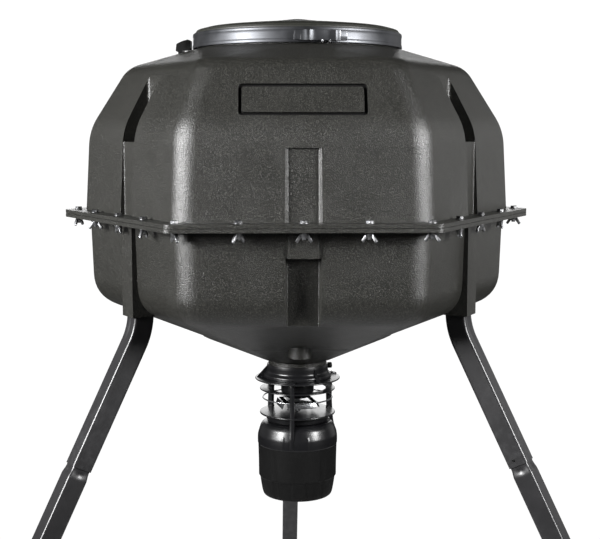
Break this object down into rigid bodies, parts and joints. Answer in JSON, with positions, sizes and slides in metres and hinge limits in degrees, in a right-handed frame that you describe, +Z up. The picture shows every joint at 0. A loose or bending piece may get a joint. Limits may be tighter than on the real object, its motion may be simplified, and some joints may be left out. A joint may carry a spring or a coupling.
{
  "type": "spin_cast_feeder",
  "caption": "Hexagonal plastic hopper game feeder on a splayed tripod of square tube, with a clamp-ring lid and a hanging battery spinner unit",
  "frame": {"origin": "On the ground, under the middle of the bounding box of the whole feeder", "axes": "+Z up, front of the hopper towards -Y, rear leg towards +Y"},
  "size_m": [1.4822, 1.2906, 1.5251],
  "materials": {
    "hopper_plastic": "moulded olive-charcoal polyethylene with a fine stipple",
    "lid_plastic": "moulded olive-black plastic",
    "gunmetal": "plated steel band, gunmetal grey",
    "painted_steel": "dark grey satin powder coat",
    "zinc": "bright zinc plate",
    "gloss_black": "glossy black moulding",
    "matte_black": "matte black moulding",
    "rubber": "black rubber",
    "battery_case": "dark grey battery case",
    "button_grey": "light grey button",
    "clear_window": "clear display window",
    "brass": "brass contact"
  },
  "bodies": {
    "stand": {"hopper_upper": "hopper_plastic", "hopper_lower": "hopper_plastic", "lid_tether_lug": "matte_black", "leg_upper_rear": "painted_steel", "leg_middle_rear": "painted_steel", "leg_lower_rear": "painted_steel", "leg_upper_left": "painted_steel", "leg_middle_left": "painted_steel", "leg_lower_left": "painted_steel", "leg_upper_right": "painted_steel", "leg_middle_right": "painted_steel", "leg_lower_right": "painted_steel", "foot_cap_rear": "rubber", "foot_cap_left": "rubber", "foot_cap_right": "rubber", "flange_bolt_1": "zinc", "flange_bolt_2": "zinc", "flange_bolt_3": "zinc", "flange_bolt_4": "zinc", "flange_bolt_5": "zinc", "flange_bolt_6": "zinc", "wing_nut_1": "zinc", "wing_nut_2": "zinc", "wing_nut_3": "zinc", "wing_nut_4": "zinc", "wing_nut_5": "zinc", "wing_nut_6": "zinc"},
    "lid_set": {"lid": "lid_plastic", "lid_gasket": "rubber", "clamp_ring": "gunmetal", "latch_bracket": "gunmetal", "latch_pivot_pin": "zinc"},
    "lever": {"latch_lever": "gunmetal", "latch_link_pin": "zinc"},
    "link": {"latch_link": "gunmetal"},
    "unit": {"collar_ring": "gloss_black", "drop_funnel": "gloss_black", "guard_cage": "gloss_black", "guard_hoop": "zinc", "guard_screw_1": "matte_black", "guard_screw_2": "matte_black", "guard_screw_3": "matte_black", "motor": "zinc", "motor_bracket": "matte_black", "housing_neck_ring": "gloss_black", "housing_dome": "gloss_black", "housing_seal": "rubber", "control_panel": "matte_black", "display_window": "clear_window", "battery_contact_left": "brass", "battery_contact_right": "brass"},
    "knob": {"collar_lock_knob": "matte_black"},
    "spinner": {"spinner_plate": "zinc", "spinner_hub": "matte_black", "spinner_nut": "zinc"},
    "cup": {"housing_cup": "matte_black", "battery": "battery_case"},
    "mode_key": {"button_mode": "button_grey"},
    "up_key": {"button_up": "button_grey"},
    "down_key": {"button_down": "button_grey"}
  },
  "joints": [
    {"name": "lid_lift", "type": "slide", "parent": "stand", "child": "lid_set", "axis": [0, 0, 1], "range_m": [0, 0.12]},
    {"name": "latch_swing", "type": "hinge", "parent": "lid_set", "child": "lever", "pos_m": [0.05562, -0.36982, 1.49], "axis": [0, 0, 1], "range_deg": [0, 110]},
    {"name": "link_swing", "type": "hinge", "parent": "lever", "child": "link", "pos_m": [0.01114, -0.37866, 1.49], "axis": [0, 0, 1], "range_deg": [-99, 0]},
    {"name": "unit_turn", "type": "hinge", "parent": "stand", "child": "unit", "pos_m": [0, -0.20642, 0.955], "axis": [0, 0, 1], "range_deg": [-180, 180]},
    {"name": "knob_turn", "type": "hinge", "parent": "unit", "child": "knob", "pos_m": [0.04949, -0.19409, 0.9575], "axis": [0.9703, 0.2419, 0], "range_deg": [0, 540]},
    {"name": "spinner_spin", "type": "hinge", "parent": "unit", "child": "spinner", "pos_m": [0, -0.20642, 0.8995], "axis": [0, 0, 1], "continuous": true},
    {"name": "cup_drop", "type": "slide", "parent": "unit", "child": "cup", "axis": [0, 0, -1], "range_m": [0, 0.16]},
    {"name": "mode_press", "type": "slide", "parent": "unit", "child": "mode_key", "axis": [0, 0, 1], "range_m": [0, 0.0012], "stiffness_N_per_m": 150, "springref_m": -0.001},
    {"name": "up_press", "type": "slide", "parent": "unit", "child": "up_key", "axis": [0, 0, 1], "range_m": [0, 0.0012], "stiffness_N_per_m": 150, "springref_m": -0.001},
    {"name": "down_press", "type": "slide", "parent": "unit", "child": "down_key", "axis": [0, 0, 1], "range_m": [0, 0.0012], "stiffness_N_per_m": 150, "springref_m": -0.001}
  ],
  "couplings": [
    {"joint": "link_swing", "follows": "latch_swing", "ratio": -0.9}
  ]
}
